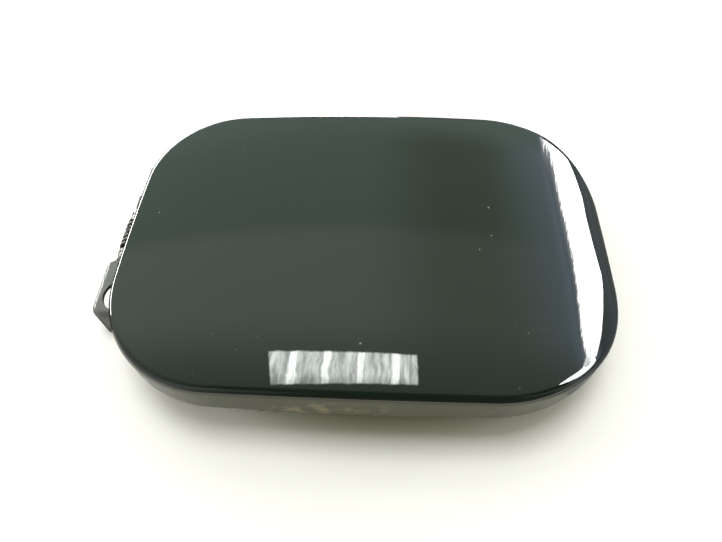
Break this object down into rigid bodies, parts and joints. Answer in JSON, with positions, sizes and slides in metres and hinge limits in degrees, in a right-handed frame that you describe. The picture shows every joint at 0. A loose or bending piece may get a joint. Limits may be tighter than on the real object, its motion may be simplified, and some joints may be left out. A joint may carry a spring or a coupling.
{
  "type": "car fuel door",
  "caption": "Rounded rectangular painted steel car fuel door, crowned and rolled over at the striker side, on a sprung gooseneck hinge with bolt-on lugs and a lock striker",
  "frame": {"origin": "midway between the two bolt holes of the hinge base, on the upper face of its lugs", "axes": "+Z out of the painted face, +X from the hinge towards the striker, +Y along the hinge pin"},
  "size_m": [0.186, 0.1216, 0.034],
  "materials": {
    "body_paint": "dark green-black gloss paint under clear coat",
    "inner_paint": "thin body-colour overspray, satin",
    "bracket_paint": "dip-coated steel, satin",
    "plated_steel": "zinc plated",
    "spring_steel": "oiled spring steel",
    "nylon": "natural nylon",
    "rubber": "black moulded rubber",
    "mastic": "cured mastic"
  },
  "bodies": {
    "hinge": {"hinge_base": "bracket_paint", "hinge_pin": "plated_steel", "pin_clip": "spring_steel", "torsion_spring": "spring_steel"},
    "door": {"outer_panel": "body_paint", "inner_panel": "inner_paint", "flutter_pads": "mastic", "hinge_arm": "bracket_paint", "arm_rivets": "plated_steel", "striker": "plated_steel", "striker_rivets": "plated_steel", "bumper_front": "rubber", "bumper_back": "rubber", "bush_front": "nylon", "bush_back": "nylon"}
  },
  "joints": [
    {"name": "door_swing", "type": "hinge", "parent": "hinge", "child": "door", "pos_m": [-0.0063, 0, -0.0065], "axis": [0, -1, 0], "range_deg": [0, 95], "stiffness_Nm_per_rad": 0.007, "springref_deg": 99.98, "deforming": ["torsion_spring"]}
  ]
}
